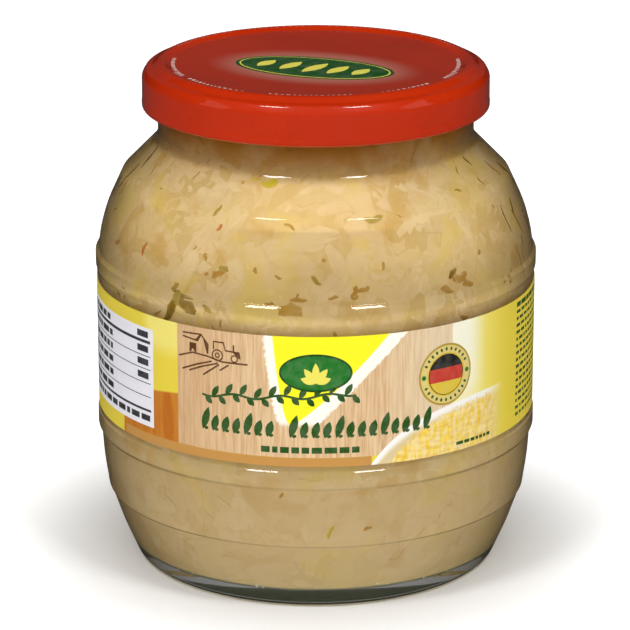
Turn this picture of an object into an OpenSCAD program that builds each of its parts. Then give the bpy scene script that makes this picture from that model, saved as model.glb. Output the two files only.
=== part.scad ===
// Barrel-shaped glass jar of shredded cabbage, closed by a twist-off lid and wrapped in a paper label.
// Lengths are millimetres and angles are degrees. The jar stands on z = 0 with its axis on Z,
// and the middle of the label's front faces -Y.

/* [Glass jar] */
// Height of the glass, up to the rim of its mouth
jar_h = 125.5; // [125:0.1:127]
// Diameter of the straight panel that carries the label
panel_d = 108.5; // [106:0.5:112]
// Diameter of the sharp corner that the rounded heel replaces
heel_d = 89.6; // [88:0.2:91]
// Radius of the heel
heel_r = 3; // [2.4:0.1:4]
// Diameter of the shoulder hoop, where the dome turns into a cone
shoulder_d = 95; // [94:0.2:96]
// Diameter of the neck under the lid
neck_d = 77.6; // [76:0.2:79]
// Thickness of the side wall
wall = 2.6; // [2.2:0.1:3]
// Thickness of the base at its middle
base_t = 4.6; // [4:0.1:6]
// Height of the hollow pushed up under the base
punt_h = 1.5; // [1:0.1:2.5]

/* [Hoops] */
// Height of the hoop low on the jar, as a share of the glass's height
low_hoop_at = 0.146; // [0.14:0.002:0.155]
// How far the hoops above and below the label stand out from the panel
hoop_proud = 0.35; // [0.2:0.05:0.5]
// How far the staves beside a hoop stand back from the panel
stave_back = 0.45; // [0.3:0.05:0.6]
// Height of the shoulder hoop, as a share of the glass's height
shoulder_at = 0.785; // [0.783:0.001:0.79]

/* [Label] */
// Height of the bottom edge of the label
label_z = 39.5; // [39:0.1:41]
// Height of the label
label_h = 32.3; // [31:0.1:33]
// Thickness of the paper with its glue
label_t = 0.15; // [0.1:0.05:0.3]
// Angle over which the end of the label lies on its start
label_lap = 5; // [3:1:8]
// Where the free end of the label lies, counter-clockwise from the middle of its front
label_end = -97; // [-110:1:-94]

/* [Lid] */
// Outer diameter of the lid's skirt
lid_d = 85.2; // [84:0.2:87]
// Height of the lid, from the curled edge to the crest of its top
lid_h = 11.4; // [10.5:0.1:12]
// Diameter of the crest round the lid's top
crest_d = 76; // [75:0.2:77]
// Thickness of the lid's sheet steel
sheet_t = 0.25; // [0.2:0.05:0.4]
// Depth of the middle panel under the crest
panel_sink = 0.8; // [0.5:0.1:1.2]
// Radius of the curled edge at the foot of the skirt
curl_r = 0.95; // [0.8:0.05:1]

/* [Contents] */
// Height to which the jar is filled
fill_z = 116.4; // [115:0.1:119]

/* [Hidden] */
$fn = 160;

arc_step = 7;              // largest turn between two points of an arc
panel_r = panel_d / 2;
hoop_r = panel_r + hoop_proud;
stave_r = panel_r - stave_back;
hoop_h = 4.2;              // height of the hoops beside the label
hoop_edge = 1;             // height over which a hoop's edge rises
hoop_round = 0.5;          // radius of a hoop's edges
panel_gap = 1.2;           // bare glass between the label and each hoop
panel_lo = label_z - panel_gap;
panel_hi = label_z + label_h + panel_gap + 1.2;

low_hoop_z = low_hoop_at * jar_h;
low_hoop_r = panel_r - 2;
low_hoop_step = 0.3;       // how far the low hoop stands out from the taper under it
stave_bow = 0.35;          // outward bow of the lower staves
taper_bow = 0.25;          // outward bow of the taper between the heel and the low hoop

shoulder_r = shoulder_d / 2;
shoulder_z = shoulder_at * jar_h;
dome_r = panel_r - 1.25;   // where the dome's two straight runs would meet
dome_z = 0.69 * jar_h;
neck_r = neck_d / 2;
neck_z = shoulder_z + shoulder_r - neck_r;  // the cone rises at 45 degrees

rim_round = 1.2;           // radius of the mouth's edges
foot_w = 3.6;              // width of the flat ring that the jar stands on
foot_in_r = heel_d / 2 - heel_r * 0.65 - foot_w;
mouth_r = neck_r - wall - 0.3;

lid_top_z = jar_h + sheet_t;
lid_z = lid_top_z - lid_h;
lid_r = lid_d / 2;
crest_r = crest_d / 2;

label_r = panel_r + label_t;
flap_bite = label_t / 3;   // depth to which the lapped end is sunk in the layer under it

// Direction from a to b
function toward(a, b) = (b - a) / norm(b - a);

// The smaller turn from angle a to angle b
function turn(a, b) = let (d = (b - a) % 360) d > 180 ? d - 360 : d < -180 ? d + 360 : d;

// Points of the arc of radius r that rounds the corner b between a and c
function round_corner(a, b, c, r) =
    let (
        u = toward(b, a),
        v = toward(b, c),
        half = acos(u * v) / 2,
        centre = b + (u + v) / norm(u + v) * r / sin(half),
        p = b + u * r / tan(half) - centre,
        q = b + v * r / tan(half) - centre,
        from = atan2(p.y, p.x),
        sweep = turn(from, atan2(q.y, q.x)),
        steps = max(2, ceil(abs(sweep) / arc_step))
    )
    [for (i = [0:steps]) centre + r * [cos(from + sweep * i / steps), sin(from + sweep * i / steps)]];

// An outline from corners [radius from the axis, height, rounding]; its two ends stay sharp
function rounded(corners) =
    let (last = len(corners) - 1, at = [for (c = corners) [c[0], c[1]]])
    [for (i = [0:last]) each
        i == 0 || i == last || corners[i][2] == 0
            ? [at[i]]
            : round_corner(at[i - 1], at[i], at[i + 1], corners[i][2])];

// The same line moved t to the right of its own direction
function inset(line, t) =
    let (last = len(line) - 1)
    [for (i = [0:last])
        let (d = toward(line[max(0, i - 1)], line[min(last, i + 1)]))
        line[i] + t * [d.y, -d.x]];

function reversed(line) = [for (i = [len(line) - 1:-1:0]) line[i]];

// Outside of the glass, from the middle of the underside up to the rim
outer_line = rounded([
    [0, punt_h, 0],
    [foot_in_r - 6, punt_h * 0.8, 14],
    [foot_in_r, 0, 1],
    [heel_d / 2, 0, heel_r],
    [(heel_d / 2 + low_hoop_r) / 2 + taper_bow, low_hoop_z / 2, 40],
    [low_hoop_r - low_hoop_step, low_hoop_z - 0.7, hoop_round],
    [low_hoop_r, low_hoop_z + 0.2, hoop_round],
    [(low_hoop_r + stave_r) / 2 + stave_bow, (low_hoop_z + panel_lo - hoop_h) / 2, 50],
    [stave_r, panel_lo - hoop_h - hoop_edge, hoop_round],
    [hoop_r, panel_lo - hoop_h, hoop_round],
    [hoop_r, panel_lo - hoop_edge, hoop_round],
    [panel_r, panel_lo, hoop_round],
    [panel_r, panel_hi, hoop_round],
    [hoop_r, panel_hi + hoop_edge, hoop_round],
    [hoop_r, panel_hi + hoop_h, hoop_round],
    [stave_r, panel_hi + hoop_h + hoop_edge, hoop_round],
    [dome_r, dome_z, 34],
    [shoulder_r + 0.1, shoulder_z - 1.2, 0.5],
    [shoulder_r + 0.3, shoulder_z - 0.7, 0.4],
    [shoulder_r, shoulder_z, 0.6],
    [neck_r, neck_z, 1.5],
    [neck_r, jar_h, rim_round],
    [(neck_r + mouth_r) / 2, jar_h, 0]
]);

// Inside of the glass, from the rim down to the middle of the base; it has no hoops
cavity_corners = [
    [mouth_r, jar_h, rim_round],
    [mouth_r, neck_z - 1.3, 3],
    [shoulder_r - wall, shoulder_z - 1.6, 5],
    [dome_r - wall, dome_z - 0.8, 30],
    [panel_r - wall, panel_hi, 20],
    [panel_r - wall, panel_lo - hoop_h, 30],
    [low_hoop_r - wall - 0.3, low_hoop_z, 14],
    [heel_d / 2 - wall + 0.6, base_t, 6],
    [0, base_t + 0.4, 0]
];
cavity_line = rounded(concat([[(neck_r + mouth_r) / 2, jar_h, 0]], cavity_corners));

// Outside of the lid, from the middle of its panel out to the crest and down to the end of its curl
lid_line = rounded([
    [0, lid_top_z - panel_sink - 0.25, 0],
    [crest_r - 14, lid_top_z - panel_sink - 0.15, 60],
    [crest_r - 2.6, lid_top_z - panel_sink, 1],
    [crest_r - 0.9, lid_top_z, 0.8],
    [crest_r + 0.3, lid_top_z, 2],
    [lid_r - 2.6, lid_top_z - 1.2, 1],
    [lid_r - 1.1, lid_top_z - 1.6, 1.2],
    [lid_r - 0.05, lid_top_z - 3.4, 2.2],
    [lid_r - 0.05, lid_z + 2.6 * curl_r, 1],
    [lid_r + 0.05, lid_z + 1.8 * curl_r, 1],
    [lid_r + 0.05, lid_z, curl_r],
    [lid_r - 1.85 * curl_r, lid_z, curl_r],
    [lid_r - 1.85 * curl_r, lid_z + 1.4 * curl_r, 0]
]);

module jar() {
    color("lightcyan", 0.4)
    rotate_extrude()
    polygon(concat(outer_line, [for (i = [1:len(cavity_line) - 1]) cavity_line[i]]));
}

module contents() {
    color("wheat")
    intersection() {
        rotate_extrude()
        polygon(concat([[0, jar_h]], cavity_line));
        cylinder(r = panel_r, h = fill_z);
    }
}

module label() {
    color("gold")
    union() {
        translate([0, 0, label_z])
        rotate_extrude()
        translate([panel_r, 0])
        square([label_t, label_h]);

        translate([0, 0, label_z])
        rotate_extrude(angle = label_lap, start = label_end - 90)
        translate([label_r - flap_bite, 0])
        square([label_t, label_h]);
    }
}

module lid() {
    color("red")
    rotate_extrude()
    polygon(concat(lid_line, reversed(inset(lid_line, sheet_t))));
}

jar();
contents();
label();
lid();
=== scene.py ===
import math

import bmesh
import bpy
import numpy as np
from mathutils import Matrix, Vector


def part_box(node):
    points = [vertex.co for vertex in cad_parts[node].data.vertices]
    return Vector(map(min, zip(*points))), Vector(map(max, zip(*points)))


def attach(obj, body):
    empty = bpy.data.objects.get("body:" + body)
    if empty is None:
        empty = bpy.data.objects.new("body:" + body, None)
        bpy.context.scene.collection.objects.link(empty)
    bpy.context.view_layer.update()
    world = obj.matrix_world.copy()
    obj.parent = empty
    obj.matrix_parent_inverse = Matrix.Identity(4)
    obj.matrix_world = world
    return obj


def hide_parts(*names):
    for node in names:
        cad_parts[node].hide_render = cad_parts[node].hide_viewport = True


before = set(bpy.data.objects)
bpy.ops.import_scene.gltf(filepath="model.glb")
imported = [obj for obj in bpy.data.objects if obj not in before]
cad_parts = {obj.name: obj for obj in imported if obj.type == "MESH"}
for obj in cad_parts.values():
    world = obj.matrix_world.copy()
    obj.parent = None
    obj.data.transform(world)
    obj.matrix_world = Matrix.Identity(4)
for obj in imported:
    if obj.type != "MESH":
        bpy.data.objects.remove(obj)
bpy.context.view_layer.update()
stage = bpy.context.scene
mm = 0.001
weld = 0.002  # mm between points that become one

# where the CAD parts are, in millimetres
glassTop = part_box("jar")[1].z / mm
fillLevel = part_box("contents")[1].z / mm
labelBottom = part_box("label")[0].z / mm
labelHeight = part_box("label")[1].z / mm - labelBottom
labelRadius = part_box("label")[1].x / mm
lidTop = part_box("lid")[1].z / mm
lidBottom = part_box("lid")[0].z / mm
print("frame loaded")


# small tools for materials

def paint(red, green, blue):
    return tuple(((v / 255 + 0.055) / 1.055) ** 2.4 for v in (red, green, blue)) + (1.0,)


def feed(tree, value, socket):
    if isinstance(value, bpy.types.NodeSocket):
        tree.links.new(value, socket)
    else:
        socket.default_value = value


def addNode(tree, kind, inputs=None, **settings):
    made = tree.nodes.new("ShaderNode" + kind)
    for key, value in settings.items():
        setattr(made, key, value)
    for key, value in (inputs or {}).items():
        feed(tree, value, made.inputs[key])
    return made


def calc(tree, operation, *values):
    return addNode(tree, "Math", dict(enumerate(values)), operation=operation).outputs[0]


def blend(tree, factor, first, second):
    return addNode(tree, "Mix", {0: factor, 6: first, 7: second}, data_type="RGBA").outputs[2]


def rise(tree, value, low, high, least=0.0, most=1.0):
    spans = {"Value": value, "From Min": low, "From Max": high, "To Min": least, "To Max": most}
    return addNode(tree, "MapRange", spans, interpolation_type="SMOOTHSTEP").outputs["Result"]


def between(tree, value, low, high, soft):
    up = rise(tree, value, low - soft, low + soft)
    down = rise(tree, value, high - soft, high + soft, 1.0, 0.0)
    return calc(tree, "MULTIPLY", up, down)


def noise(tree, vector, scale, detail, distortion=0.0):
    inputs = {"Vector": vector, "Scale": scale, "Detail": detail, "Distortion": distortion}
    return addNode(tree, "TexNoise", inputs).outputs["Fac"]


def vectorCalc(tree, operation, *values):
    return addNode(tree, "VectorMath", dict(enumerate(values)), operation=operation).outputs


def readAttribute(tree, name, output):
    return addNode(tree, "Attribute", attribute_name=name).outputs[output]


def makeGroup(name, inputs, outputs):
    tree = bpy.data.node_groups.new(name, "ShaderNodeTree")
    for way, sockets in (("INPUT", inputs), ("OUTPUT", outputs)):
        for label, kind in sockets.items():
            tree.interface.new_socket(name=label, in_out=way, socket_type="NodeSocket" + kind)
    return tree, tree.nodes.new("NodeGroupInput"), tree.nodes.new("NodeGroupOutput")


def useGroup(tree, group, **inputs):
    return addNode(tree, "Group", inputs, node_tree=group)


def newMaterial(name, roughness=0.5, **sockets):
    material = bpy.data.materials.new(name)
    material.use_nodes = True
    tree = material.node_tree
    shader = tree.nodes["Principled BSDF"]
    shader.inputs["Roughness"].default_value = roughness
    for key, value in sockets.items():
        shader.inputs[key].default_value = value
    return material, tree, shader


def objectPlace(tree):
    return addNode(tree, "TexCoord").outputs["Object"]


# effects that several materials share

def makeMottle():
    group, entry, leave = makeGroup("mottle", {"Vector": "Vector", "Scale": "Float"}, {"Mask": "Float"})
    broad = noise(group, entry.outputs["Vector"], entry.outputs["Scale"], 4.0, 0.4)
    feed(group, rise(group, broad, 0.32, 0.68), leave.inputs["Mask"])
    return group


def makeStreaks():
    sockets = {"Vector": "Vector", "Stretch": "Vector", "Scale": "Float"}
    group, entry, leave = makeGroup("streaks", sockets, {"Mask": "Float"})
    place = vectorCalc(group, "MULTIPLY", entry.outputs["Vector"], entry.outputs["Stretch"])[0]
    lines = noise(group, place, entry.outputs["Scale"], 3.0, 0.3)
    feed(group, rise(group, lines, 0.34, 0.66), leave.inputs["Mask"])
    return group


def makeSmudge():
    sockets = {"Vector": "Vector", "Scale": "Float", "Low": "Float", "High": "Float"}
    group, entry, leave = makeGroup("smudge", sockets, {"Roughness": "Float"})
    cloud = noise(group, entry.outputs["Vector"], entry.outputs["Scale"], 5.0)
    spans = {"Value": cloud, "From Min": 0.3, "From Max": 0.7, "To Min": entry.outputs["Low"],
             "To Max": entry.outputs["High"]}
    span = addNode(group, "MapRange", spans)
    feed(group, span.outputs["Result"], leave.inputs["Roughness"])
    return group


mottle = makeMottle()
streaks = makeStreaks()
smudge = makeSmudge()


def cloudMask(tree, scale):
    return useGroup(tree, mottle, Vector=objectPlace(tree), Scale=scale).outputs["Mask"]


def addWear(tree, shader, scale, low, high):
    worn = useGroup(tree, smudge, Vector=objectPlace(tree), Scale=scale, Low=low, High=high)
    feed(tree, worn.outputs["Roughness"], shader.inputs["Roughness"])


def addBump(tree, shader, height, strength, distance):
    bump = addNode(tree, "Bump", {"Height": height, "Strength": strength, "Distance": distance})
    feed(tree, bump.outputs["Normal"], shader.inputs["Normal"])


def setSurface(tree, factor, first, second):
    both = addNode(tree, "MixShader", {0: factor, 1: first.outputs[0], 2: second.outputs[0]})
    feed(tree, both.outputs[0], tree.nodes["Material Output"].inputs["Surface"])


# small tools for pieces

def makeObject(bm, name, material):
    mesh = bpy.data.meshes.new(name)
    bm.to_mesh(mesh)
    bm.free()
    mesh.materials.append(material)
    made = bpy.data.objects.new(name, mesh)
    stage.collection.objects.link(made)
    return made


def makePiece(bm, name, material, sharpAngle=180, replaced=None):
    piece = makeObject(bm, name, material)
    piece.data.shade_smooth()
    if sharpAngle < 180:
        piece.data.set_sharp_from_angle(angle=math.radians(sharpAngle))
    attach(piece, "root")
    if replaced:
        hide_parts(replaced)
    return piece


def wholeOf(bm):
    return bm.verts[:] + bm.edges[:] + bm.faces[:]


def drawOutline(bm, corners, arcStep=4):
    verts = [bm.verts.new((radius * mm, 0, height * mm)) for radius, height, rounding in corners]
    for first, second in zip(verts, verts[1:]):
        bm.edges.new((first, second))
    places = [vert.co.copy() for vert in verts]
    for index in range(1, len(corners) - 1):
        rounding = corners[index][2] * mm
        turn = (places[index] - places[index - 1]).angle(places[index + 1] - places[index])
        if rounding > 0 and turn > 0.001:
            steps = max(2, math.ceil(math.degrees(turn) / arcStep))
            bmesh.ops.bevel(bm, geom=[verts[index]], offset=rounding * math.tan(turn / 2),
                            offset_type="ABSOLUTE", segments=steps, profile=0.5, affect="VERTICES",
                            material=-1)
    return verts[0]


def walkOutline(first):
    line = [first.co.copy()]
    edge = None
    vert = first
    while True:
        ahead = [other for other in vert.link_edges if other is not edge]
        if not ahead:
            return line
        edge = ahead[0]
        vert = edge.other_vert(vert)
        line.append(vert.co.copy())


def spinOutline(bm, steps):
    bmesh.ops.spin(bm, geom=bm.verts[:] + bm.edges[:], cent=(0, 0, 0), axis=(0, 0, 1), angle=2 * math.pi,
                   steps=steps, use_merge=True)
    bmesh.ops.remove_doubles(bm, verts=bm.verts[:], dist=weld * mm)
    bmesh.ops.recalc_face_normals(bm, faces=bm.faces[:])


# camera, lights and floor

studio = {
    "target": (0, 0, 60.2),  # mm
    "distance": 867.9,
    "elevation": 17.43,  # degrees
    "lens": 198.46,
    "shift": -0.00127,
    "world": (1.0, 1.0, 1.0),
    "worldStrength": 0.22,
    "frontGlow": 1.55,
    "glowFocus": 3.5,
    "glowElevation": 10,
    "floor": (0.92, 0.92, 0.92),
    "floorBounce": (0.88, 0.88, 0.86),
    "floorMirror": (0.05, 0.05, 0.05),
    "underGlass": 0.34,  # glow of the floor as seen through the glass
    "underGlassTint": (0.95, 1.0, 0.82, 1.0),
    "floorGlow": 0.62,
    "floorGlowSpan": (45, 100),  # mm from the axis over which that glow comes up
    "floorSize": 4,  # m
    # azimuth and elevation in degrees, size in mm, power in watts
    "softboxes": {
        "keyLeft": (-38, 56, (500, 520), 15),
        "keyRight": (38, 56, (500, 520), 15),
        "sideLeft": (-72, 24, (900, 1100), 1.0),
        "sideRight": (72, 24, (900, 1100), 1.1),
        "back": (180, 22, (2600, 1400), 0.4),
        "above": (0, 75, (1500, 1500), 5.5),
    },
    "softboxDistance": 2400,
}


def polarPlace(azimuth, elevation, distance):
    a = math.radians(azimuth)
    e = math.radians(elevation)
    return Vector((math.sin(a) * math.cos(e), -math.cos(a) * math.cos(e), math.sin(e))) * distance * mm


def addCamera():
    data = bpy.data.cameras.new("camera")
    data.sensor_width = 36
    data.lens = studio["lens"]
    data.shift_x = studio["shift"]
    data.clip_start = 0.01
    data.clip_end = 20
    camera = bpy.data.objects.new("camera", data)
    camera.location = Vector(studio["target"]) * mm + polarPlace(0, studio["elevation"], studio["distance"])
    camera.rotation_euler = (math.radians(90 - studio["elevation"]), 0, 0)
    stage.collection.objects.link(camera)
    stage.camera = camera


def addSoftbox(name, azimuth, elevation, size, power, distance):
    data = bpy.data.lights.new(name, "AREA")
    data.shape = "RECTANGLE"
    data.size = size[0] * mm
    data.size_y = size[1] * mm
    data.energy = power
    lamp = bpy.data.objects.new(name, data)
    lamp.location = Vector(studio["target"]) * mm + polarPlace(azimuth, elevation, distance)
    lamp.rotation_euler = polarPlace(azimuth, elevation, distance).to_track_quat("Z", "Y").to_euler()
    lamp.visible_camera = False
    lamp.visible_transmission = False
    lamp.visible_glossy = name != "above"
    stage.collection.objects.link(lamp)


def addFloor():
    bm = bmesh.new()
    bmesh.ops.create_grid(bm, x_segments=1, y_segments=1, size=studio["floorSize"])
    material, tree, shader = newMaterial("paleFloor", 0.9)
    pale = studio["floor"] + (1.0,)
    shaded = tuple(v * 0.985 for v in pale)
    feed(tree, blend(tree, cloudMask(tree, 6.0), pale, shaded), shader.inputs["Base Color"])
    spot = vectorCalc(tree, "LENGTH", objectPlace(tree))["Value"]
    near, far = studio["floorGlowSpan"]
    glow = blend(tree, rise(tree, spot, near * mm, far * mm), (0, 0, 0, 1), (1, 1, 1, 1))
    feed(tree, glow, shader.inputs["Emission Color"])
    shader.inputs["Emission Strength"].default_value = studio["floorGlow"]
    # the floor lights the jar from below, but is only faintly mirrored in it
    path = addNode(tree, "LightPath")
    straight = calc(tree, "SUBTRACT", 1.0, path.outputs["Is Transmission Ray"])
    mirrored = calc(tree, "MULTIPLY", path.outputs["Is Glossy Ray"], straight)
    thrown = blend(tree, mirrored, studio["floorBounce"] + (1.0,), studio["floorMirror"] + (1.0,))
    plain = addNode(tree, "BsdfDiffuse", {"Color": thrown})
    strength = calc(tree, "MULTIPLY", path.outputs["Is Transmission Ray"], studio["underGlass"])
    shine = addNode(tree, "Emission", {"Color": studio["underGlassTint"], "Strength": strength})
    dim = addNode(tree, "AddShader", {0: plain.outputs[0], 1: shine.outputs[0]})
    setSurface(tree, path.outputs["Is Camera Ray"], dim, shader)
    makeObject(bm, "floor", material)


def addWorld():
    world = bpy.data.worlds.new("studio")
    world.use_nodes = True
    tree = world.node_tree
    backdrop = tree.nodes["Background"]
    # dim all round, with a broad soft glow from the front
    way = addNode(tree, "TexCoord").outputs["Generated"]
    front = tuple(polarPlace(0, studio["glowElevation"], 1000))
    facing = vectorCalc(tree, "DOT_PRODUCT", way, front)["Value"]
    lobe = calc(tree, "POWER", calc(tree, "MAXIMUM", facing, 0.0), studio["glowFocus"])
    level = calc(tree, "MULTIPLY_ADD", lobe, studio["frontGlow"], studio["worldStrength"])
    feed(tree, level, backdrop.inputs["Strength"])
    backdrop.inputs["Color"].default_value = studio["world"] + (1.0,)
    world.cycles_visibility.glossy = False  # only the softboxes are mirrored in the glass
    stage.world = world


addCamera()
addWorld()
addFloor()
for name, (azimuth, elevation, size, power) in studio["softboxes"].items():
    addSoftbox(name, azimuth, elevation, size, power, studio["softboxDistance"])
stage.view_settings.view_transform = "Standard"
print("studio ready")


# glass jar

panelRadius = 54.25
hoopRadius = panelRadius + 0.35
staveRadius = panelRadius - 0.45
lowHoop = (panelRadius - 2, 0.146 * glassTop)
shoulder = (47.5, 0.785 * glassTop)
dome = (panelRadius - 1.25, 0.69 * glassTop)
neckRadius = 38.8
neckHeight = shoulder[1] + shoulder[0] - neckRadius
panelGap = 1.2  # bare glass beside the label
panelLow = labelBottom - panelGap
panelHigh = labelBottom + labelHeight + 2 * panelGap
hoopHeight = 4.2
heelRadius = 44.8
wall = 2.6
mouthRadius = neckRadius - wall - 0.3

jarShape = {
    "segments": 192,
    # radius, height and rounding of each corner, from the middle of the underside to the rim
    "outside": [
        (0, 1.5, 0),
        (33.25, 1.2, 14),
        (39.25, 0, 1),
        (heelRadius, 0, 3),
        ((heelRadius + lowHoop[0]) / 2 + 0.25, lowHoop[1] / 2, 40),
        (lowHoop[0] - 0.45, lowHoop[1] - 0.4, 0.3),
        (lowHoop[0], lowHoop[1] + 0.1, 0.3),
        ((lowHoop[0] + staveRadius) / 2 + 0.35, (lowHoop[1] + panelLow - hoopHeight) / 2, 50),
        (staveRadius, panelLow - hoopHeight - 1, 0.5),
        (hoopRadius, panelLow - hoopHeight, 0.5),
        (hoopRadius, panelLow - 0.5, 0.3),
        (panelRadius, panelLow - 0.1, 0.3),
        (panelRadius, panelHigh, 0.5),
        (hoopRadius, panelHigh + 1, 0.5),
        (hoopRadius, panelHigh + hoopHeight, 0.3),
        (hoopRadius - 0.42, panelHigh + 4.72, 0.3),
        (staveRadius, panelHigh + 5.0, 0.4),
        (dome[0], dome[1], 34),
        (shoulder[0] + 0.15, shoulder[1] - 0.3, 1.5),
        (neckRadius, neckHeight, 4),
        (neckRadius, glassTop, 1.2),
    ],
    # the same for the inside, from the rim to the middle of the base
    "inside": [
        (mouthRadius, glassTop, 1.2),
        (mouthRadius, neckHeight - 1.3, 3),
        (shoulder[0] - wall, shoulder[1] - 1.6, 5),
        (dome[0] - wall, dome[1] - 0.8, 30),
        (panelRadius - wall, panelHigh, 20),
        (panelRadius - wall, panelLow - hoopHeight, 30),
        (lowHoop[0] - wall - 0.3, lowHoop[1], 14),
        (heelRadius - wall + 0.6, 4.6, 6),
        (0, 5.0, 0),
    ],
    "tint": (0.985, 0.992, 0.98, 1.0),
    # painted shade: the glass turns dark towards its silhouettes
    "rimShade": (0.2, 0.18, 0.13, 1.0),
    "shadowTint": (0.96, 0.97, 0.95, 1.0),
    "ior": 1.5,
    "waviness": 0.04,
}


def makeGlassMaterial():
    sockets = {"Transmission Weight": 1.0, "IOR": jarShape["ior"]}
    material, tree, shader = newMaterial("clearGlass", 0.02, **sockets)
    facing = addNode(tree, "LayerWeight").outputs["Facing"]
    # painted shade: the glass's colour darkens towards its silhouettes
    tint = blend(tree, rise(tree, facing, 0.3, 0.9), jarShape["tint"], jarShape["rimShade"])
    feed(tree, tint, shader.inputs["Base Color"])
    addWear(tree, shader, 60.0, 0.0, 0.03)
    addBump(tree, shader, cloudMask(tree, 22.0), jarShape["waviness"], mm)
    # light reaches the food straight through the wall
    turnedBack = addNode(tree, "Fresnel", {"IOR": jarShape["ior"]}).outputs[0]
    passed = blend(tree, turnedBack, jarShape["shadowTint"], (0, 0, 0, 1))
    clear = addNode(tree, "BsdfTransparent", {"Color": passed})
    path = addNode(tree, "LightPath")
    setSurface(tree, path.outputs["Is Shadow Ray"], shader, clear)
    return material


def makeJar():
    bm = bmesh.new()
    drawOutline(bm, jarShape["outside"] + jarShape["inside"])
    spinOutline(bm, jarShape["segments"])
    makePiece(bm, "glassJar", makeGlassMaterial(), replaced="jar")


makeJar()
print("glass jar made")


# lid

crestRadius = 38
lidRadius = 42.6
curl = 0.95
lidShape = {
    "segments": 240,
    "sheet": 0.25,
    "outside": [
        (0, lidTop - 1.05, 0),
        (crestRadius - 14, lidTop - 0.95, 60),
        (crestRadius - 2.6, lidTop - 0.8, 1),
        (crestRadius - 0.9, lidTop, 0.8),
        (crestRadius + 0.3, lidTop, 2),
        (lidRadius - 2.6, lidTop - 1.2, 1),
        (lidRadius - 1.1, lidTop - 1.6, 1.2),
        (lidRadius - 0.05, lidTop - 3.4, 2.2),
        (lidRadius - 0.05, lidBottom + 2.6 * curl, 1),
        (lidRadius + 0.05, lidBottom + 1.8 * curl, 1),
        (lidRadius + 0.05, lidBottom, curl),
        (lidRadius - 1.85 * curl, lidBottom, curl),
        (lidRadius - 1.85 * curl, lidBottom + 1.4 * curl, 0),
    ],
    "red": (200, 47, 3),
    "deepRed": (188, 41, 2),
}
lidPrint = {
    "centre": (-0.3, -5.0),
    "radii": (20.4, 10.6),
    "turn": -22.5,
    "glow": 0.6,
    "glowReach": 8,  # mm
    "glowColour": (214, 150, 130),
    "rings": [(0, "lidGreen"), (0.9, "leafYellow"), (1.3, "lidGreen")],
    "leaf": {"step": 6.2, "length": 11.0, "shrink": 1.8, "width": 3.6},
    "ringRadius": 34.5,
    "markHeight": 0.9,
    # degrees from the front, and how far outside the ring
    "groups": [(-97, -64, 0.4), (-61, -28, 0.1), (-19, 17, -0.4), (27, 52, 0.1), (62, 97, 0.4),
               (112, 141, 2.9), (146, 176, 2.9), (-178, -150, 2.9), (-145, -112, 2.9)],
}


def makeLacquer():
    sockets = {"Coat Weight": 1.0, "Coat Roughness": 0.03, "Coat IOR": 1.65, "Specular IOR Level": 0.15}
    material, tree, shader = newMaterial("redLacquer", 0.4, **sockets)
    place = objectPlace(tree)
    red = blend(tree, cloudMask(tree, 30.0), paint(*lidShape["red"]), paint(*lidShape["deepRed"]))
    # pale halo round the oval, fading outwards
    middle = tuple(v * mm for v in lidPrint["centre"])
    reach = tuple((v + lidPrint["glowReach"]) * mm for v in lidPrint["radii"])
    oval = {"Vector": place, "Location": middle + (0,), "Rotation": (0, 0, math.radians(lidPrint["turn"])),
            "Scale": reach + (1.0,)}
    turned = addNode(tree, "Mapping", oval, vector_type="TEXTURE").outputs["Vector"]
    out = vectorCalc(tree, "LENGTH", vectorCalc(tree, "MULTIPLY", turned, (1, 1, 0))[0])["Value"]
    glow = calc(tree, "MULTIPLY", rise(tree, out, 0.6, 1.0, 1.0, 0.0), lidPrint["glow"])
    feed(tree, blend(tree, glow, red, paint(*lidPrint["glowColour"])), shader.inputs["Base Color"])
    addWear(tree, shader, 90.0, 0.26, 0.36)
    addBump(tree, shader, noise(tree, place, 1600.0, 2.0), 0.06, 0.1 * mm)
    return material


def makeLid():
    bm = bmesh.new()
    drawOutline(bm, lidShape["outside"])
    spinOutline(bm, lidShape["segments"])
    top = max(bm.faces, key=lambda face: face.calc_center_median().z)
    if top.normal.z < 0:
        bmesh.ops.reverse_faces(bm, faces=bm.faces[:])
    bmesh.ops.solidify(bm, geom=bm.faces[:], thickness=lidShape["sheet"] * mm)
    makePiece(bm, "lidShell", makeLacquer(), replaced="lid")


makeLid()
print("lid made")


# contents: a core that fills the glass, and shreds pressed against the wall

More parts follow.
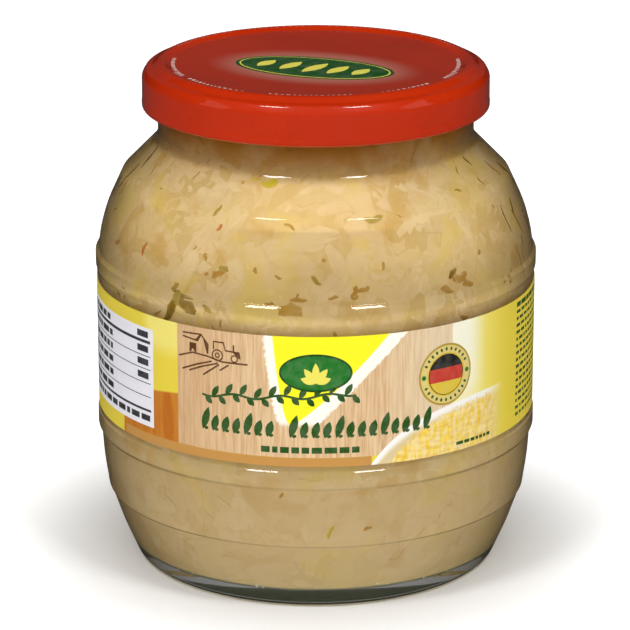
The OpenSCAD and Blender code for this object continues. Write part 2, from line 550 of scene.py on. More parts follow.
kraut = {
    "bite": 0.12,  # mm that the core reaches into the glass
    "seed": 11,
    "crown": 0.04,  # how far a shred's face swells above its edges
    "brine": (222, 188, 122),
    "golden": (218, 174, 96),
    "tan": (228, 196, 134),
    "cream": (240, 212, 158),
    "pink": (239, 208, 162),
    "yellow": (238, 208, 100),
    "pale": (246, 222, 174),
    # brine brown, darkened as painted shade under the lid
    "neckBrineShade": (170, 104, 8),
    "lowTan": (230, 206, 168),
    # painted shade: grey for the bottom of the food, which gets little light
    "underside": (136, 138, 122),
    "fleck": (190, 142, 60),
    # painted shade: dark colour for the gaps between shreds seen edge-on
    "gapShade": (120, 88, 40),
    "leaf": (140, 106, 16),
    "olive": (176, 150, 56),
    "lime": (206, 184, 40),
    "amber": (196, 150, 60),
    "carrot": (206, 112, 48),
    "bend": 0.14,
    # heights in mm over which the neck's brown (brine with painted shade under the lid), the foot's tan and
    # the grey painted shade at the food's bottom come in
    "neckSpan": (101.5, 113.5),
    "lowSpan": (24, 44),
    "undersideSpan": (4.8, 5.5),
    "edgeGap": 3,  # mm of the label's edges behind which shreds are still laid
    # count, length, width, thickness and reach into the glass, in mm
    "shreds": {"count": 1000, "length": (9, 24), "width": (3.5, 9.5), "thick": (0.5, 1.0),
               "reach": (0.14, 0.22)},
    "threads": {"count": 130, "length": (8, 22), "width": (0.25, 0.5), "thick": (0.3, 0.5),
                "reach": (0.2, 0.26), "turns": (38, 180)},
    "flecks": {"count": 85, "length": (0.8, 3.0), "width": (0.5, 1.5), "heights": (56, 108),
               "hues": ("fleck", "fleck", "amber", "olive")},
    # dark strokes on the flanks: painted shade of the gaps between shreds, some coloured like flecks
    "gapShades": {"count": 44, "length": (3, 8), "width": (0.5, 1.2), "heading": (65, 115),
              "turns": (62, 118), "heights": (78, 106), "hues": ("gapShade", "fleck")},
    "bubbles": {"count": 70, "size": (0.2, 0.5), "heights": (5.0, 6.6)},
    # angle from the front, height, heading, length, width and colour of single bits
    "accents": [
        (-40.5, 74.4, 62, 8.5, 2.4, "leaf"),
        (-36.4, 76.6, -28, 8.0, 3.0, "leaf"),
        (-38.6, 77.4, 80, 3.6, 2.2, "olive"),
        (-53.3, 86.1, 75, 3.4, 1.1, "carrot"),
        (-21.1, 104.6, 10, 3.4, 2.2, "lime"),
        (-15.9, 103.8, 20, 4.2, 3.0, "lime"),
        (3.9, 21.9, 70, 3.6, 1.0, "lime"),
        (14.0, 22.4, 20, 2.2, 1.0, "fleck"),
        (-9.0, 31.5, 60, 1.6, 0.8, "fleck"),
        (41.1, 81.6, 10, 4.6, 2.4, "fleck"),
        (36.5, 79.4, -30, 4.0, 2.0, "fleck"),
        (38.6, 83.0, 40, 3.0, 1.6, "leaf"),
        (43.6, 79.8, -15, 3.4, 1.8, "fleck"),
        (17.3, 96.9, 5, 4.4, 1.4, "olive"),
        (-26.6, 84.5, 30, 3.6, 1.8, "fleck"),
        (-25.1, 85.8, -10, 2.6, 1.4, "olive"),
        (-28.5, 94.3, 60, 2.0, 0.9, "carrot"),
        (0.0, 84.4, -45, 3.0, 1.2, "olive"),
        (-4.5, 80.0, 0, 4.0, 1.2, "fleck"),
        (-12.0, 78.5, 10, 2.6, 1.6, "fleck"),
        (-6.5, 77.5, 0, 5.5, 3.2, "amber"),
        (12.0, 82.0, 0, 3.2, 1.2, "fleck"),
    ],
}
random = np.random.default_rng(kraut["seed"])


def makeCore():
    bite = kraut["bite"]
    corners = [(0, fillLevel, 0), (mouthRadius + bite, fillLevel, 0.4)]
    for radius, height, rounding in jarShape["inside"][1:-1]:
        corners.append((radius + bite, height, rounding))
    corners[-1] = (corners[-1][0], corners[-1][1] - bite, corners[-1][2])
    corners.append((0, jarShape["inside"][-1][1] - bite, 0))
    bm = bmesh.new()
    first = drawOutline(bm, corners)
    line = np.array([(place.x, place.z) for place in walkOutline(first)])[::-1] / mm
    spinOutline(bm, 160)
    makePiece(bm, "krautCore", makeFoodMaterial("brinedCore", False), 50, replaced="contents")
    return line


def makeFoodMaterial(name, stranded):
    material, tree, shader = newMaterial(name, 0.55, **{"Specular IOR Level": 0.1})
    place = objectPlace(tree)
    hue = {key: paint(*value) for key, value in kraut.items() if isinstance(value, tuple) and len(value) == 3}
    broad = cloudMask(tree, 70.0)
    small = cloudMask(tree, 320.0)
    colour = blend(tree, broad, hue["brine"], hue["tan"])
    colour = blend(tree, calc(tree, "MULTIPLY", small, 0.5), colour, hue["cream"])
    if stranded:
        ramp = addNode(tree, "ValToRGB", {"Fac": readAttribute(tree, "tone", "Fac")})
        stops = [(0.0, "tan"), (0.25, "cream"), (0.5, "pink"), (0.7, "pale"), (0.8, "cream"), (0.95, "brine")]
        while len(ramp.color_ramp.elements) < len(stops):
            ramp.color_ramp.elements.new(0.5)
        for element, (position, key) in zip(ramp.color_ramp.elements, stops):
            element.position = position
            element.color = hue[key]
        fibre = useGroup(tree, streaks, Vector=readAttribute(tree, "strand", "Vector"),
                         Stretch=(0.14, 1.0, 1.0), Scale=1.1).outputs["Mask"]
        strand = blend(tree, calc(tree, "MULTIPLY", fibre, 0.35), ramp.outputs["Color"], colour)
        crown = readAttribute(tree, "crown", "Fac")
        colour = blend(tree, rise(tree, crown, 0.0, 0.85, 0.08, 0.75), colour, strand)
    # soft yellow and brown clouds that run across many shreds
    cloud = noise(tree, place, 75.0, 3.0, 0.8)
    colour = blend(tree, rise(tree, cloud, 0.5, 0.7, 0.0, 0.55), colour, hue["yellow"])
    colour = blend(tree, rise(tree, cloud, 0.45, 0.32, 0.0, 0.6), colour, hue["golden"])
    height = calc(tree, "DIVIDE", addNode(tree, "SeparateXYZ", {0: place}).outputs["Z"], mm)
    colour = blend(tree, rise(tree, height, *kraut["lowSpan"], 0.45, 0.0), colour, hue["lowTan"])
    # brine brown in the neck, partly painted shade under the lid's rim
    neck = calc(tree, "MULTIPLY", rise(tree, height, *kraut["neckSpan"]), rise(tree, broad, -1.2, 0.6))
    colour = blend(tree, neck, colour, hue["neckBrineShade"])
    # painted shade: the bottom of the food turns grey
    under = rise(tree, height, *kraut["undersideSpan"], 1.0, 0.0)
    feed(tree, blend(tree, under, colour, hue["underside"]), shader.inputs["Base Color"])
    addBump(tree, shader, small, 0.15, 0.2 * mm)
    return material


wallLine = makeCore()
wallRun = np.concatenate([[0], np.cumsum(np.hypot(*np.diff(wallLine, axis=0).T))])


def radiusAt(run):
    return np.interp(run, wallRun, wallLine[:, 0])


def heightAt(run):
    return np.interp(run, wallRun, wallLine[:, 1])


def runAt(height):
    return np.interp(height, wallLine[:, 1], wallRun)


def onWall(turn, run, out):
    ahead = radiusAt(run + 0.3) - radiusAt(run - 0.3)
    climb = heightAt(run + 0.3) - heightAt(run - 0.3)
    size = np.hypot(ahead, climb)
    radius = radiusAt(run) + out * climb / size
    height = heightAt(run) - out * ahead / size
    return np.stack([radius * np.sin(turn), -radius * np.cos(turn), height], axis=-1) * mm


def pickPlaces(spec):
    turns = []
    runs = []
    lowest, highest = spec.get("heights", (7, fillLevel - 3))
    inner, outer = spec.get("turns", (0, 180))
    while len(turns) < spec["count"]:
        turn = random.uniform(inner, outer) * random.choice((-1, 1))
        height = random.uniform(lowest, highest)
        run = runAt(height)
        hidden = kraut["edgeGap"] < height - labelBottom < labelHeight - kraut["edgeGap"]
        if not hidden and random.uniform(0, 1) < radiusAt(run) / panelRadius:
            turns.append(math.radians(turn))
            runs.append(run)
    return np.array(turns), np.array(runs)


def pickFacts(spec):
    turns, runs = pickPlaces(spec)
    facts = {"turn": turns, "run": runs}
    for key in ("length", "width", "thick", "reach", "heading"):
        facts[key] = random.uniform(*spec.get(key, (0, 180)), spec["count"])
    return facts


def makeStrands(name, facts, sides, lengths, material):
    count = len(facts["turn"])
    template = bmesh.new()
    bmesh.ops.create_cone(template, cap_ends=True, segments=sides, radius1=1, radius2=1, depth=2)
    for cut in np.linspace(-1, 1, lengths + 1)[1:-1]:
        bmesh.ops.bisect_plane(template, geom=wholeOf(template), plane_co=(0, 0, cut), plane_no=(0, 0, 1))
    one = bpy.data.meshes.new("template")
    template.to_mesh(one)
    template.free()
    bm = bmesh.new()
    for _ in range(count):
        bm.from_mesh(one)
    size = len(one.vertices)
    bpy.data.meshes.remove(one)
    mesh = makePiece(bm, name, material).data
    places = np.empty(len(mesh.vertices) * 3)
    mesh.vertices.foreach_get("co", places)
    places = places.reshape(count, size, 3)
    across, deep, along = places[..., 0], places[..., 1], places[..., 2]
    keys = ("turn", "run", "length", "width", "thick", "reach")
    turn, run, length, width, thick, reach = [facts[key][:, None] for key in keys]
    heading = np.radians(facts["heading"])[:, None]
    bend = random.uniform(-1, 1, (count, 1)) * length * kraut["bend"]
    phase = random.uniform(0, 6, (count, 1))
    taper = (1 - 0.6 * np.abs(along) ** 6) * (1 + 0.16 * np.sin(along * 5 + phase))
    lengthwise = along * length / 2
    ripple = 0.1 * width * np.sin(along * 4 + phase)
    sideways = across * width / 2 * taper + bend * (along ** 2 - 0.33) + ripple
    outward = reach - np.where(deep > 0, (1 - deep) * kraut["crown"], kraut["crown"] - deep * thick) * taper
    u = lengthwise * np.cos(heading) - sideways * np.sin(heading)
    v = lengthwise * np.sin(heading) + sideways * np.cos(heading)
    runs = np.clip(run + v, 20, runAt(fillLevel - 1))
    mesh.vertices.foreach_set("co", onWall(turn + u / radiusAt(runs), runs, outward).reshape(-1))
    mesh.set_sharp_from_angle(angle=math.radians(35))
    seeds = np.broadcast_to(turn * 50, across.shape)
    columns = [
        ("tone", "FLOAT", "value", np.repeat(random.uniform(0, 1, count), size)),
        ("crown", "FLOAT", "value", np.clip(deep, 0, 1)),
        ("strand", "FLOAT_VECTOR", "vector", np.stack([lengthwise, across * width / 2, seeds], axis=-1)),
    ]
    if "hue" in facts:
        columns.append(("hue", "FLOAT_COLOR", "color", np.repeat(facts["hue"], size, axis=0)))
    for key, kind, field, values in columns:
        mesh.attributes.new(key, kind, "POINT").data.foreach_set(field, values.reshape(-1))
    mesh.update()


def makeAccentMaterial():
    material, tree, shader = newMaterial("colouredBits", 0.55, **{"Specular IOR Level": 0.1})
    edge = rise(tree, readAttribute(tree, "crown", "Fac"), 0.0, 0.9, 0.6, 0.0)
    clear = calc(tree, "MULTIPLY_ADD", cloudMask(tree, 420.0), 0.25, edge)
    blotchy = blend(tree, clear, readAttribute(tree, "hue", "Color"), paint(*kraut["tan"]))
    feed(tree, blotchy, shader.inputs["Base Color"])
    return material


def makeAccents():
    keys = ("turn", "run", "heading", "length", "width")
    rows = []
    hues = []
    for turn, height, heading, length, width, hue in kraut["accents"]:
        rows.append((math.radians(turn), runAt(height), heading, length, width))
        hues.append(paint(*kraut[hue]))
    for hue in ("flecks", "gapShades"):
        spec = kraut[hue]
        facts = pickFacts(spec)
        rows.extend(zip(*[facts[key] for key in keys]))
        hues.extend(paint(*kraut[random.choice(spec["hues"])]) for _ in range(spec["count"]))
    facts = {key: np.array(column) for key, column in zip(keys, zip(*rows))}
    facts["thick"] = np.full(len(rows), 0.4)
    facts["reach"] = random.uniform(0.24, 0.3, len(rows))
    facts["hue"] = np.array(hues)
    makeStrands("krautBits", facts, 6, 4, makeAccentMaterial())


def makeBubbles():
    spec = kraut["bubbles"]
    turns, runs = pickPlaces(spec)
    sizes = random.uniform(*spec["size"], spec["count"])
    centres = onWall(turns, runs, 0.15)
    bm = bmesh.new()
    for centre, size in zip(centres, sizes):
        bmesh.ops.create_icosphere(bm, subdivisions=1, radius=size * mm, matrix=Matrix.Translation(centre))
    material, tree, shader = newMaterial("paleBubbles", 0.12, **{"Coat Weight": 0.6})
    # real bubbles, made opaque and pale as a painted glint
    pale = blend(tree, cloudMask(tree, 900.0), paint(226, 214, 186), paint(250, 246, 236))
    feed(tree, pale, shader.inputs["Base Color"])
    makePiece(bm, "brineBubbles", material)


strandMaterial = makeFoodMaterial("cabbageShreds", True)
makeStrands("krautShreds", pickFacts(kraut["shreds"]), 6, 6, strandMaterial)
makeStrands("krautThreads", pickFacts(kraut["threads"]), 4, 8, strandMaterial)
makeAccents()
makeBubbles()
print("contents made")


# paper label and its print; a sheet is laid out flat in mm (arc, height, depth) and then wrapped

sheet = {
    "freeEnd": -97,  # degrees from the middle of the front
    "lap": 5,
    "thick": 0.2,
    "cut": 2.0,  # mm between the cuts that let the flat sheet bend
    "lift": 0.6,  # how far the free end's top corner stands off
    "layer": 0.016,  # thickness of one layer of print
    "raise": 0.15,  # how far the lapped end stands off
    "raiseRun": 4,  # mm over which it sinks back
    "liftRun": 7,
    "yellow": (236, 212, 66),
    "paleYellow": (245, 229, 118),
    "creamYellow": (250, 246, 222),
    "lemon": (255, 243, 30),
    "wood": (226, 192, 146),
    "woodDark": (203, 157, 110),
    "woodPale": (238, 212, 172),
    "woodCool": (236, 226, 196),
    "strip": (200, 146, 74),
    "orangeWood": (192, 108, 20),
    "orangePale": (208, 132, 40),
    "dish": (250, 246, 240),
    "dishShade": (222, 200, 150),
    "heap": (236, 192, 44),
    "heapPale": (247, 212, 72),
}
inks = {
    "title": (38, 84, 20),
    "green": (28, 118, 34),
    "deepGreen": (18, 74, 26),
    "lidGreen": (12, 78, 22),
    "leafYellow": (238, 226, 90),
    "gold": (176, 148, 44),
    "goldBright": (220, 190, 54),
    "black": (34, 32, 28),
    "red": (196, 52, 34),
    "paleGold": (222, 200, 120),
    "brown": (100, 56, 18),
    "tableWhite": (240, 238, 246),
    "rule": (52, 52, 58),
    "white": (236, 214, 206),
}
# fields of colour, in mm along the arc and up from the label's foot; a third number is the softness
fields = {
    "panel": (-35.3, 34.8, 0.12),
    "panelFoot": 2.3,
    "paleRight": (30, 48, 9),
    "paleLeft": (-46, -34, 2),
    "paleLeftFoot": (22, 27),
    "cream": (32, 43, 4),
    "creamFoot": (6, 20),
    "boards": (-56, -30, 0.3),
    "boardsTop": (0.12, 19.0),  # slope and height
    "strip": (-55, 13.4, 0.2),
    "shadeLeft": (-34, -12),
    "coolRight": (12, 34),
    "wedgePoint": (-5.9, 10.3),
    "wedgeSpan": 22.0,
    "wedgeLeans": (-4.4, 23.6),  # how far its sides lean out over that span
    "stroke": 2.1,
    # start, swell and top of two edges that rise along the label and level off
    "dishRim": (13.2, 13.8, 13.8),
    "heapTop": (17.7, 12.8, 11.8),
    "dishBend": 10.0,
    "dishFade": (45, 54),
}
labelStart = math.radians(sheet["freeEnd"]) * labelRadius
labelLength = math.radians(360 + sheet["lap"]) * labelRadius
lapLength = math.radians(sheet["lap"]) * labelRadius


def wrapOnJar(place):
    arc, height, depth = place
    along = max(arc - labelStart, 0)
    over = sheet["raise"] * (1 - min(max((along - lapLength) / sheet["raiseRun"], 0), 1))
    upward = min(max(height / labelHeight, 0), 1)
    corner = sheet["lift"] * max(1 - along / sheet["liftRun"], 0) ** 2 * upward ** 2
    radius = labelRadius + depth + over + corner
    turn = arc / labelRadius
    return Vector((radius * math.sin(turn), -radius * math.cos(turn), labelBottom + height)) * mm


def cutSheet(bm, axis, spacing):
    lowest = min(vert.co[axis] for vert in bm.verts)
    highest = max(vert.co[axis] for vert in bm.verts)
    normal = Vector((0, 0, 0))
    normal[axis] = 1
    for place in np.arange(math.ceil(lowest / spacing) * spacing, highest, spacing):
        bmesh.ops.bisect_plane(bm, geom=wholeOf(bm), dist=0.0001, plane_co=normal * float(place),
                               plane_no=normal)


def makePaperMaterial():
    material, tree, shader = newMaterial("printedPaper", 0.42, **{"Specular IOR Level": 0.25})
    uv = addNode(tree, "UVMap", uv_map="flatSheet").outputs["UV"]
    parts = addNode(tree, "SeparateXYZ", {0: uv})
    arc = calc(tree, "MULTIPLY_ADD", parts.outputs["X"], labelLength, labelStart)
    height = calc(tree, "MULTIPLY", parts.outputs["Y"], labelHeight)
    flat = addNode(tree, "CombineXYZ", {0: arc, 1: height}).outputs[0]
    hue = {key: paint(*value) for key, value in sheet.items() if isinstance(value, tuple)}

    def work(operation, *values):
        return calc(tree, operation, *values)

    def both(first, second):
        return work("MULTIPLY", first, second)

    def mix(factor, first, second):
        return blend(tree, factor, first, second)

    def band(key):
        return between(tree, arc, *fields[key])

    def lines(stretch, scale):
        return useGroup(tree, streaks, Vector=flat, Stretch=stretch, Scale=scale).outputs["Mask"]

    def past(edge, value, low, high):
        return rise(tree, work("SUBTRACT", value, edge), low, high)

    def swell(start, size, top):
        run = work("DIVIDE", work("SUBTRACT", start, arc), fields["dishBend"])
        return work("MULTIPLY_ADD", work("EXPONENT", run), -size, top)

    # yellow field, paler beside the wood panel
    palePatch = both(band("paleLeft"), rise(tree, height, *fields["paleLeftFoot"]))
    pale = work("MAXIMUM", band("paleRight"), palePatch)
    colour = mix(pale, hue["yellow"], hue["paleYellow"])
    creamPatch = both(band("cream"), rise(tree, height, *fields["creamFoot"]))
    colour = mix(creamPatch, colour, hue["creamYellow"])
    # wooden boards beside and under the table
    boards = mix(lines((1.0, 0.1, 1.0), 0.5), hue["orangeWood"], hue["orangePale"])
    under = past(height, work("MULTIPLY_ADD", arc, *fields["boardsTop"]), -0.3, 0.3)
    colour = mix(both(band("boards"), under), colour, boards)
    foot = (fields["panelFoot"] - 0.1, fields["panelFoot"] + 0.1)
    strip = both(band("strip"), rise(tree, height, *foot, 1.0, 0.0))
    colour = mix(strip, colour, hue["strip"])
    # pale wood panel with its grain running up
    wood = mix(lines((1.0, 0.05, 1.0), 1.3), hue["woodDark"], hue["wood"])
    wood = mix(both(lines((1.0, 0.04, 1.0), 4.0), 0.45), wood, hue["woodPale"])
    wood = mix(rise(tree, arc, *fields["shadeLeft"], 0.4, 0.0), wood, hue["woodDark"])
    wood = mix(rise(tree, arc, *fields["coolRight"], 0.0, 0.45), wood, hue["woodCool"])
    panel = both(band("panel"), rise(tree, height, *foot))
    # yellow wedge between two white brush strokes
    pointArc, pointHeight = fields["wedgePoint"]
    climb = work("DIVIDE", work("SUBTRACT", height, pointHeight), fields["wedgeSpan"])
    up = work("MAXIMUM", climb, 0.0)
    left = work("MULTIPLY_ADD", work("SQRT", up), fields["wedgeLeans"][0], pointArc)
    right = work("MULTIPLY_ADD", work("POWER", up, 0.85), fields["wedgeLeans"][1], pointArc)
    bristle = both(lines((0.25, 0.25, 1.0), 4.0), 0.5)
    outerLeft = work("SUBTRACT", work("SUBTRACT", left, fields["stroke"]), bristle)
    diagonal = work("SUBTRACT", height, pointHeight - 0.1)
    outerRight = work("ADD", work("MAXIMUM", diagonal, left), bristle)
    inner = both(past(left, arc, -0.15, 0.15), past(arc, right, -0.15, 0.15))
    outer = both(past(outerLeft, arc, -0.3, 0.5), past(arc, outerRight, -0.3, 0.5))
    wood = mix(both(outer, rise(tree, height, 9.6, 11.4)), wood, paint(253, 250, 236))
    wood = mix(both(inner, rise(tree, height, 10.2, 10.8)), wood, hue["lemon"])
    colour = mix(panel, colour, wood)
    # white dish with a heap of shreds
    rim = swell(*fields["dishRim"])
    heapTop = work("MULTIPLY_ADD", lines((1.0, 1.0, 1.0), 1.4), 1.5, swell(*fields["heapTop"]))
    fade = rise(tree, arc, *fields["dishFade"], 1.0, 0.0)
    dish = mix(past(height, rim, 0.8, 3.0), hue["dish"], hue["dishShade"])
    heap = mix(lines((0.35, 1.1, 1.0), 1.0), hue["heap"], hue["heapPale"])
    heap = mix(both(lines((1.1, 0.4, 1.0), 0.9), 0.35), heap, hue["dish"])
    colour = mix(both(past(height, rim, -0.15, 0.15), fade), colour, dish)
    colour = mix(both(past(height, heapTop, -0.2, 0.2), fade), colour, heap)
    feed(tree, colour, shader.inputs["Base Color"])
    addWear(tree, shader, 120.0, 0.36, 0.5)
    addBump(tree, shader, noise(tree, flat, 2.5, 3.0), 0.12, 0.05 * mm)
    return material


def makeLabel():
    bm = bmesh.new()
    bmesh.ops.create_grid(bm, x_segments=1, y_segments=1, size=0.5)
    bmesh.ops.scale(bm, vec=(labelLength, labelHeight, 1), verts=bm.verts[:])
    bmesh.ops.translate(bm, vec=(labelStart + labelLength / 2, labelHeight / 2, 0), verts=bm.verts[:])
    cutSheet(bm, 0, sheet["cut"])
    cutSheet(bm, 1, 8.0)
    bmesh.ops.solidify(bm, geom=bm.faces[:], thickness=sheet["thick"])
    flat = bm.loops.layers.uv.new("flatSheet")
    for face in bm.faces:
        for loop in face.loops:
            loop[flat].uv = ((loop.vert.co.x - labelStart) / labelLength, loop.vert.co.y / labelHeight)
    for vert in bm.verts:
        vert.co = wrapOnJar(vert.co)
    bmesh.ops.recalc_face_normals(bm, faces=bm.faces[:])
    makePiece(bm, "paperLabel", makePaperMaterial(), 40, replaced="label")


def makeInkMaterial(name, roughness, coat):
    sockets = {"Coat Weight": coat, "Coat Roughness": 0.2, "Specular IOR Level": 0.2}
    material, tree, shader = newMaterial(name, roughness, **sockets)
    thin = calc(tree, "MULTIPLY", cloudMask(tree, 500.0), 0.05)
    soft = blend(tree, thin, readAttribute(tree, "ink", "Color"), (0.85, 0.8, 0.7, 1.0))
    feed(tree, soft, shader.inputs["Base Color"])
    return material


def startPrint():
    bm = bmesh.new()
    bm.loops.layers.float_color.new("ink")
    return bm


def tintFace(bm, face, hue, layer):
    face.normal_update()
    if face.normal.z < 0:
        face.normal_flip()
    for loop in face.loops:
        loop[bm.loops.layers.float_color["ink"]] = paint(*inks[hue])
        loop.vert.co.z = (layer + 1) * sheet["layer"]


def inkShape(bm, points, hue, layer=0):
    tintFace(bm, bm.faces.new([bm.verts.new((x, y, 0)) for x, y in points]), hue, layer)


def inkBar(bm, left, right, low, high, hue, layer=0):
    inkShape(bm, [(left, low), (right, low), (right, high), (left, high)], hue, layer)


def inkDisc(bm, centre, radii, hue, layer=0, turn=0.0, sides=32, pointed=False):
    made = bmesh.ops.create_circle(bm, cap_ends=True, radius=1, segments=sides)["verts"]
    for vert in made:
        if pointed:
            vert.co.y *= math.sqrt(max(1 - vert.co.x ** 2, 0))
        vert.co = Matrix.Rotation(turn, 3, "Z") @ Vector((vert.co.x * radii[0], vert.co.y * radii[1], 0))
        vert.co += Vector((centre[0], centre[1], 0))
    tintFace(bm, made[0].link_faces[0], hue, layer)


def inkLeaf(bm, root, length, width, degrees, hue, layer=0):
    turn = math.radians(degrees)
    centre = (root[0] + math.cos(turn) * length / 2, root[1] + math.sin(turn) * length / 2)
    inkDisc(bm, centre, (length / 2, width / 2), hue, layer, turn, 14, True)


def inkStroke(bm, points, width, hue, layer=0):
    line = [Vector(point) for point in points]
    left = []
    right = []
    for index, point in enumerate(line):
        way = (line[min(index + 1, len(line) - 1)] - line[max(index - 1, 0)]).normalized()
        side = Vector((-way.y, way.x)) * width / 2
        left.append(tuple(point + side))
        right.append(tuple(point - side))
    inkShape(bm, left + right[::-1], hue, layer)


def inkRing(bm, centre, radius, width, hue, layer=0, sides=20):
    for step in range(sides):
        turns = [2 * math.pi * (step + extra) / sides for extra in (0, 1)]
        points = [(centre[0] + r * math.cos(t), centre[1] + r * math.sin(t))
                  for r, t in ((radius, turns[0]), (radius, turns[1]), (radius - width, turns[1]),
                               (radius - width, turns[0]))]
        inkShape(bm, points, hue, layer)


def inkWords(bm, left, right, low, high, hue, layer, longest=3.4, gap=0.7):
    place = left
    while place < right - 0.8:
        width = min(random.uniform(0.35, 1) * longest, right - place)
        inkBar(bm, place, place + width, low, high, hue, layer)
        place += width + gap


def inkSprout(bm, centre, size, hue, layer):
    for degrees, length in ((90, 1.0), (52, 0.9), (128, 0.9), (18, 0.75), (162, 0.75)):
        inkLeaf(bm, centre, size * length, size * 0.36, degrees, hue, layer)


def inkLeafRow(bm, left, right, low, spacing, hue, layer, space=7):
    for index, place in enumerate(np.arange(left, right - spacing / 2, spacing)):
        if index == space:
            continue
        length = 6.0 if index % 4 == 0 else 4.3
        inkLeaf(bm, (place + 0.5, low), length, 2.0, 74, hue, layer)
        inkDisc(bm, (place + spacing * 0.55, low + 0.45), (0.55, 0.4), hue, layer, 0.3, 8)


def inkVine(bm, left, right, low, slope, hue, layer):
    stem = [(x, low + 1.2 + (x - left) * slope + 0.5 * math.sin(x * 0.55))
            for x in np.arange(left, right + 0.1, 0.9)]
    inkStroke(bm, stem, 0.55, hue, layer)
    for index, point in enumerate(stem[1:-1:2]):
        way = 56 if index % 2 else -50
        inkLeaf(bm, point, 3.4 if index % 2 else 2.6, 1.5, way + math.degrees(slope), hue, layer)


def finishPrint(bm, name, place, material, cuts):
    for axis, spacing in enumerate(cuts):
        cutSheet(bm, axis, spacing)
    bmesh.ops.solidify(bm, geom=bm.faces[:], thickness=sheet["layer"])
    for vert in bm.verts:
        vert.co = place(vert.co)
    bmesh.ops.triangulate(bm, faces=bm.faces[:])
    bmesh.ops.recalc_face_normals(bm, faces=bm.faces[:])
    makePiece(bm, name, material, 30)


# what stands in for the words, in mm along the arc and up from the label's foot
marks = {
    "oval": (0, 23.4),
    "ovalRings": [((8.7, 4.7), "deepGreen"), ((8.2, 4.2), "green")],
    "sprout": (0, 20.9),
    "vine": (-28.2, 9.8, 14.9, 0.055),  # left, right, height and slope
    "leafRow": (-28.6, 29.4, 7.2, 2.75),  # left, right, height and spacing
    "weightBars": (-13.1, 11.5, 3.4, 4.9),  # left, right, foot and top
    "seal": (33, 20),
    "sealRings": [(7.7, "gold"), (7.2, "paleGold"), (5.5, "goldBright"), (5.1, "black")],
    "sealBand": 4.9,
    "sealDots": 6.35,
    "sealDotCount": 28,
    "tableRight": -43.4,
    "tableRules": [(25.3, 0.75), (21.7, 0.2), (18.4, 0.2), (14.9, 0.2), (11.5, 0.2), (8.0, 0.6)],
    # height of each row, and whether it has a bar at its end
    "tableRows": [(26.3, True), (22.6, True), (19.3, True), (15.9, True), (12.5, False), (9.1, False)],
    "smallLeft": 60.5,
    "smallRights": (104, 88),
    "back": (128, 166),
    "backText": (184, 232),
}


def printFront(bm):
    # a plain oval with a sprout where the maker's mark would be
    for layer, (radii, hue) in enumerate(marks["ovalRings"]):
        inkDisc(bm, marks["oval"], radii, hue, layer, 0, 48)
    inkSprout(bm, marks["sprout"], 5.0, "leafYellow", 2)
    # a vine, a row of leaves and a row of bars stand in for the words
    inkVine(bm, *marks["vine"], "title", 0)
    inkLeafRow(bm, *marks["leafRow"], "title", 0)
    inkWords(bm, *marks["weightBars"], "title", 0, 3.2, 0.6)


def printSeal(bm):
    centre = marks["seal"]
    for layer, (radius, hue) in enumerate(marks["sealRings"]):
        inkDisc(bm, centre, (radius, radius), hue, layer, 0, 48)
    band = marks["sealBand"]
    for top, hue, layer in ((1.7, "red", 4), (-1.7, "goldBright", 5)):
        reach = math.asin(top / band)
        arcTurns = np.linspace(math.pi - reach, 2 * math.pi + reach, 22)
        points = [(centre[0] + band * math.cos(t), centre[1] + band * math.sin(t)) for t in arcTurns]
        inkShape(bm, points, hue, layer)
    out = marks["sealDots"]
    for step in range(marks["sealDotCount"]):
        turn = 2 * math.pi * step / marks["sealDotCount"]
        if abs(math.sin(turn)) > 0.3:
            spot = (centre[0] + out * math.cos(turn), centre[1] + out * math.sin(turn))
            inkDisc(bm, spot, (0.5, 0.34), "title", 2, turn, 6)
    for side in (-1, 1):
        inkDisc(bm, (centre[0] + side * out, centre[1]), (0.6, 0.6), "green", 2, 0, 12)


farmLines = [
    [(-33.6, 30.5), (-28.4, 30.7), (-26.5, 28.5), (-26.6, 26.2)],
    [(-28.4, 30.7), (-29.3, 29.0), (-33.6, 29.6)],
    [(-34.8, 24.5), (-30.8, 25.9), (-26.7, 25.6), (-22.8, 24.7), (-16.3, 24.7)],
    [(-25.5, 24.5), (-29.5, 23.2), (-33.8, 21.4)],
    [(-23.9, 24.2), (-28.0, 22.9), (-31.8, 21.3)],
    [(-23.6, 23.9), (-27.9, 20.8)],
    [(-21.1, 24.1), (-23.4, 22.5)],
    [(-25.0, 27.6), (-25.0, 29.5), (-22.4, 29.5), (-21.9, 27.6), (-18.4, 27.4), (-18.2, 25.9)],
    [(-19.8, 27.4), (-19.8, 29.2)],
    [(-31.5, 26.0), (-31.5, 28.2), (-29.9, 28.2), (-29.9, 26.0)],
]


farmWheels = [((-24.0, 26.2), 1.5, 0.34, 20), ((-24.0, 26.2), 0.7, 0.3, 12), ((-19.6, 25.8), 0.95, 0.3, 14)]


def printFarm(bm):
    for points in farmLines:
        inkStroke(bm, points, 0.42, "brown", 0)
    for centre, radius, width, sides in farmWheels:
        inkRing(bm, centre, radius, width, "brown", 1, sides)


def printTable(bm):
    left = labelStart + 7
    right = marks["tableRight"]
    inkBar(bm, left, right, 4.0, 28.8, "tableWhite", 0)
    for height, thick in marks["tableRules"]:
        inkBar(bm, left + 1.5, right - 1.0, height - thick / 2, height + thick / 2, "rule", 1)
    for height, barred in marks["tableRows"]:
        inkWords(bm, left + 1.5, -62, height, height + 1.5, "rule", 1, 5.0, 0.8)
        if barred:
            inkBar(bm, -49.4, -45.2, height, height + 1.6, "rule", 1)
    inkWords(bm, left + 1.5, right - 1.4, 5.3, 6.8, "rule", 1, 4.0, 0.8)


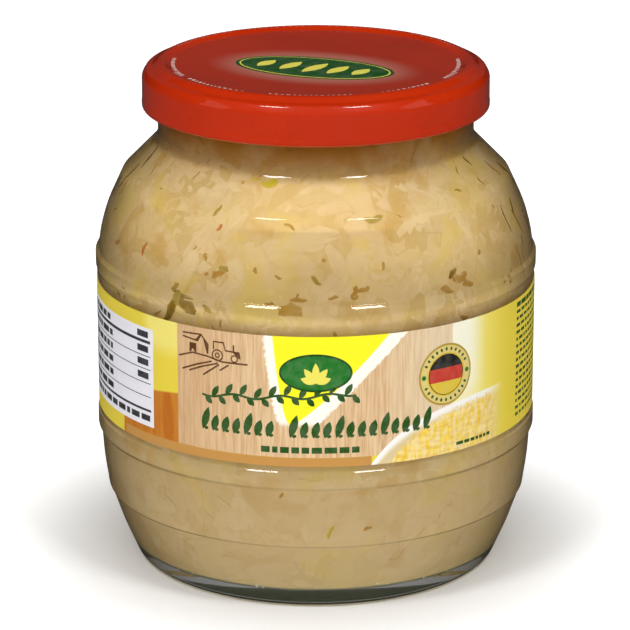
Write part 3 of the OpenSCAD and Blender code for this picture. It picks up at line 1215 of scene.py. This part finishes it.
def printRight(bm):
    inkWords(bm, 36.3, 49.1, 1.4, 2.2, "title", 1, 2.2, 0.4)
    wide, narrow = marks["smallRights"]
    for row in range(16):
        low = 28.6 - row * 1.75
        inkWords(bm, marks["smallLeft"], wide if row % 5 else narrow, low, low + 0.75, "title", 0, 2.4, 0.75)
    inkWords(bm, marks["smallLeft"], 84, 30.2, 31.4, "title", 0, 4.5, 0.5)
    # the back repeats the vine and the leaves, with more bars beside them
    inkVine(bm, *marks["back"], 22, 0.0, "title", 0)
    inkLeafRow(bm, *marks["back"], 11, 2.75, "title", 0)
    for row in range(12):
        low = 26.0 - row * 1.9
        inkWords(bm, *marks["backText"], low, low + 0.95, "title", 0, 3.4, 0.5)


def makePrint():
    bm = startPrint()
    for part in (printFront, printSeal, printFarm, printTable, printRight):
        part(bm)
    ink = makeInkMaterial("labelInk", 0.42, 0.0)
    finishPrint(bm, "labelPrint", wrapOnJar, ink, [sheet["cut"]])


makeLabel()
makePrint()
print("label made")


# print on the lid

lidLine = []


def lidSurface(radius):
    return np.interp(radius, [point[0] for point in lidLine], [point[1] for point in lidLine])


def layOnLid(place):
    x, y, depth = place
    return Vector((x, y, lidSurface(math.hypot(x, y)) + depth)) * mm


def layOnCrest(place):
    arc, across, depth = place
    turn = arc / lidPrint["ringRadius"]
    radius = lidPrint["ringRadius"] + across
    return Vector((radius * math.sin(turn), -radius * math.cos(turn), lidSurface(radius) + depth)) * mm


def printOnLid():
    bm = bmesh.new()
    top = walkOutline(drawOutline(bm, lidShape["outside"][:6]))
    lidLine.extend((place.x / mm, place.z / mm) for place in top)
    bm.free()
    emblem = startPrint()
    turn = math.radians(lidPrint["turn"])
    centre = lidPrint["centre"]
    radii = lidPrint["radii"]
    for layer, (inset, hue) in enumerate(lidPrint["rings"]):
        inkDisc(emblem, centre, (radii[0] - inset, radii[1] - inset), hue, layer, turn, 64)
    leaf = lidPrint["leaf"]
    for step in range(-2, 3):
        shift = Vector((step * leaf["step"] - 1.2, abs(step) * 0.9 - 5.4))
        root = Vector(centre) + Matrix.Rotation(turn, 2) @ shift
        length = leaf["length"] - abs(step) * leaf["shrink"]
        inkLeaf(emblem, root, length, leaf["width"], 76 + lidPrint["turn"], "leafYellow", 3)
    ink = makeInkMaterial("lidInk", 0.35, 0.2)
    finishPrint(emblem, "lidEmblem", layOnLid, ink, (2.5, 2.5))
    ring = startPrint()
    reach = math.radians(1) * lidPrint["ringRadius"]
    half = lidPrint["markHeight"] / 2
    for first, last, out in lidPrint["groups"]:
        inkWords(ring, first * reach, last * reach, out - half, out + half, "white", 0, 0.9, 0.85)
    finishPrint(ring, "lidMarks", layOnCrest, ink, [2.0])


printOnLid()
print("lid print made")
